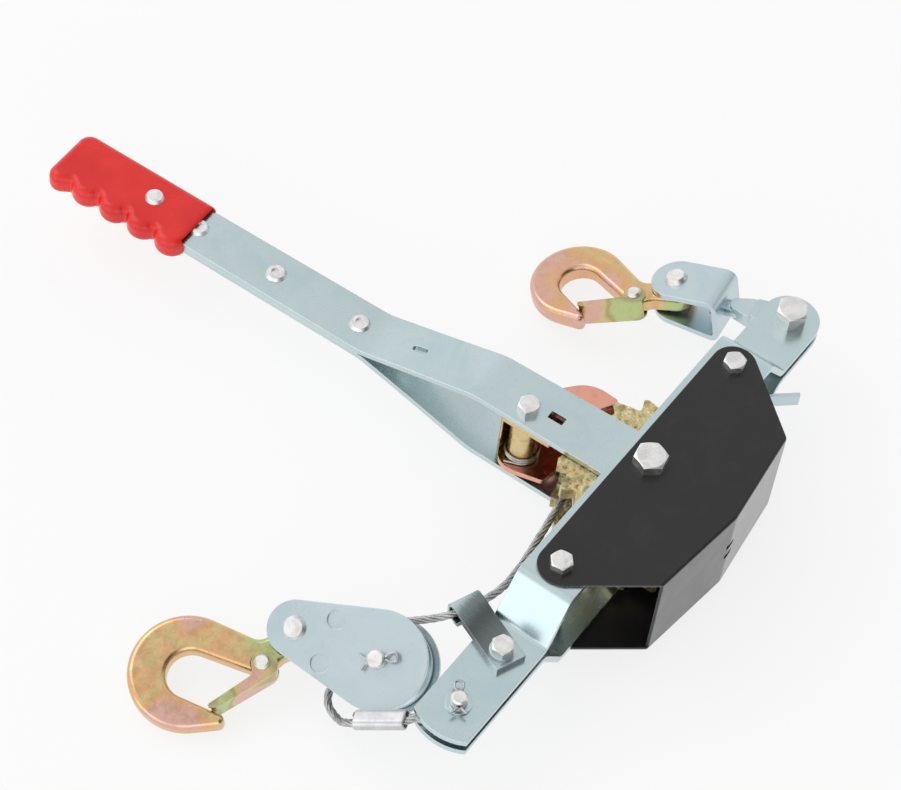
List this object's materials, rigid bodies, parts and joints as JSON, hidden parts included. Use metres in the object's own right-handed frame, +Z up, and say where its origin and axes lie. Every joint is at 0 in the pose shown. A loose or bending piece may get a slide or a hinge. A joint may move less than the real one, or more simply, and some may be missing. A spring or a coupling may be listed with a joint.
{
  "type": "come along winch",
  "caption": "Hand lever winch: a ratcheting rope drum in a plated frame with a guard, a long gripped lever, a pulley block and two latched hooks.",
  "frame": {"origin": "middle of the whole winch's footprint, at the height of the surface that it lies on", "axes": "+Z up along the drum's axle, +Y along the lever towards its grip, +X towards the swivel hook's end of the frame"},
  "size_m": [0.4816, 0.5086, 0.094],
  "materials": {
    "zinc_frame": "bright zinc plate, drawn lengthwise",
    "zinc_bright": "bright zinc plate",
    "zinc_lever": "bright zinc plate",
    "zinc_dull": "dull zinc plate",
    "black_guard": "satin black powder coat",
    "steel_rope": "laid galvanised wire",
    "aluminium_sleeve": "pressed",
    "yellow_wheel": "rough casting, yellow zinc",
    "yellow_zinc": "yellow and pink iridescent zinc",
    "hook_finish": "forged, yellow zinc",
    "latch_finish": "yellow zinc sheet",
    "spring_steel": "bright wire",
    "red_grip": "soft gloss"
  },
  "bodies": {
    "frame": {"frame_plate_upper": "zinc_frame", "frame_plate_lower": "zinc_frame", "guard": "black_guard", "guard_bolts": "zinc_bright", "guard_nuts": "zinc_bright", "spacer_tubes": "zinc_dull", "axle_bolt": "zinc_bright", "axle_nut": "zinc_bright", "axle_washers": "zinc_frame", "cable_guide_strap": "zinc_frame", "guide_bolt": "zinc_bright", "guide_washers": "zinc_frame", "guide_nut": "zinc_bright", "anchor_pin": "zinc_bright", "anchor_pin_washer": "zinc_frame", "anchor_split_pin": "spring_steel", "swivel_bolt": "zinc_bright", "swivel_bolt_nut": "zinc_bright", "cable_run": "steel_rope", "cable_ferrule": "aluminium_sleeve"},
    "drum": {"drum_core": "yellow_wheel", "drum_bush": "yellow_wheel", "ratchet_wheel_upper": "yellow_wheel", "ratchet_wheel_lower": "yellow_wheel", "cable_inner_layers": "steel_rope", "cable_winding": "steel_rope"},
    "lever": {"handle_plate_upper": "zinc_lever", "handle_plate_lower": "zinc_lever", "handle_rivets": "zinc_bright", "grip": "red_grip", "grip_rivet": "zinc_bright", "pawl_bolt": "zinc_bright", "pawl_nut": "zinc_bright", "pawl_spacer_tube": "yellow_zinc", "driving_pawl_spring": "spring_steel"},
    "driving_pawl": {"driving_pawl": "yellow_zinc"},
    "holding_pawl": {"holding_pawl": "zinc_dull", "holding_pawl_spring": "spring_steel"},
    "block": {"block_cheek_upper": "zinc_dull", "block_cheek_lower": "zinc_dull", "sheave_axle": "zinc_bright", "sheave_split_pin": "spring_steel", "block_hook_pin": "zinc_bright"},
    "sheave": {"sheave": "zinc_dull", "sheave_bush": "zinc_dull"},
    "block_hook": {"block_hook": "hook_finish", "block_latch_rivet": "zinc_bright", "block_latch_spring": "spring_steel"},
    "block_latch": {"block_latch": "latch_finish"},
    "swivel_eye": {"swivel_eye": "zinc_dull"},
    "clevis": {"clevis": "zinc_dull", "clevis_pin": "zinc_bright", "swivel_washer": "zinc_frame"},
    "swivel_hook": {"swivel_hook": "hook_finish", "swivel_latch_rivet": "zinc_bright", "swivel_latch_spring": "spring_steel"},
    "swivel_latch": {"swivel_latch": "latch_finish"}
  },
  "joints": [
    {"name": "drum_spin", "type": "hinge", "parent": "frame", "child": "drum", "pos_m": [0.05278, -0.19075, 0.05], "axis": [0, 0, 1], "continuous": true},
    {"name": "lever_swing", "type": "hinge", "parent": "frame", "child": "lever", "pos_m": [0.05278, -0.19075, 0.05], "axis": [0, 0, 1], "range_deg": [-45, 40]},
    {"name": "driving_pawl_pivot", "type": "hinge", "parent": "lever", "child": "driving_pawl", "pos_m": [0.04339, -0.10803, 0.05], "axis": [0, 0, 1], "range_deg": [0, 12], "stiffness_Nm_per_rad": 0.25, "springref_deg": -14.32},
    {"name": "holding_pawl_pivot", "type": "hinge", "parent": "frame", "child": "holding_pawl", "pos_m": [0.14738, -0.19075, 0.05], "axis": [0, 0, 1], "range_deg": [0, 12], "stiffness_Nm_per_rad": 0.25, "springref_deg": -14.32},
    {"name": "block_swing", "type": "hinge", "parent": "frame", "child": "block", "pos_m": [-0.13302, -0.13295, 0.0312], "axis": [-0.497, 0, 0.8678], "range_deg": [-25, 20]},
    {"name": "sheave_spin", "type": "hinge", "parent": "block", "child": "sheave", "pos_m": [-0.13302, -0.13295, 0.0312], "axis": [-0.497, 0, 0.8678], "continuous": true},
    {"name": "block_hook_swing", "type": "hinge", "parent": "block", "child": "block_hook", "pos_m": [-0.14329, -0.07913, 0.02532], "axis": [-0.2147, -0.0575, 0.975], "range_deg": [-45, 20]},
    {"name": "block_latch_pivot", "type": "hinge", "parent": "block_hook", "child": "block_latch", "pos_m": [-0.17407, -0.07377, 0.01886], "axis": [-0.2147, -0.0575, 0.975], "range_deg": [-32, 0], "stiffness_Nm_per_rad": 0.04, "springref_deg": 17.19},
    {"name": "swivel_swing", "type": "hinge", "parent": "frame", "child": "swivel_eye", "pos_m": [0.22278, -0.19075, 0.05], "axis": [0, 0, 1], "range_deg": [-180, 8]},
    {"name": "clevis_turn", "type": "hinge", "parent": "swivel_eye", "child": "clevis", "pos_m": [0.22278, -0.19075, 0.05], "axis": [-0.127, 0.9645, -0.2317], "continuous": true},
    {"name": "swivel_hook_swing", "type": "hinge", "parent": "clevis", "child": "swivel_hook", "pos_m": [0.2127, -0.11417, 0.0316], "axis": [-0.0302, 0.2298, 0.9728], "range_deg": [-60, 40]},
    {"name": "swivel_latch_pivot", "type": "hinge", "parent": "swivel_hook", "child": "swivel_latch", "pos_m": [0.19197, -0.09498, 0.02642], "axis": [-0.0302, 0.2298, 0.9728], "range_deg": [-32, 0], "stiffness_Nm_per_rad": 0.04, "springref_deg": 17.19}
  ]
}
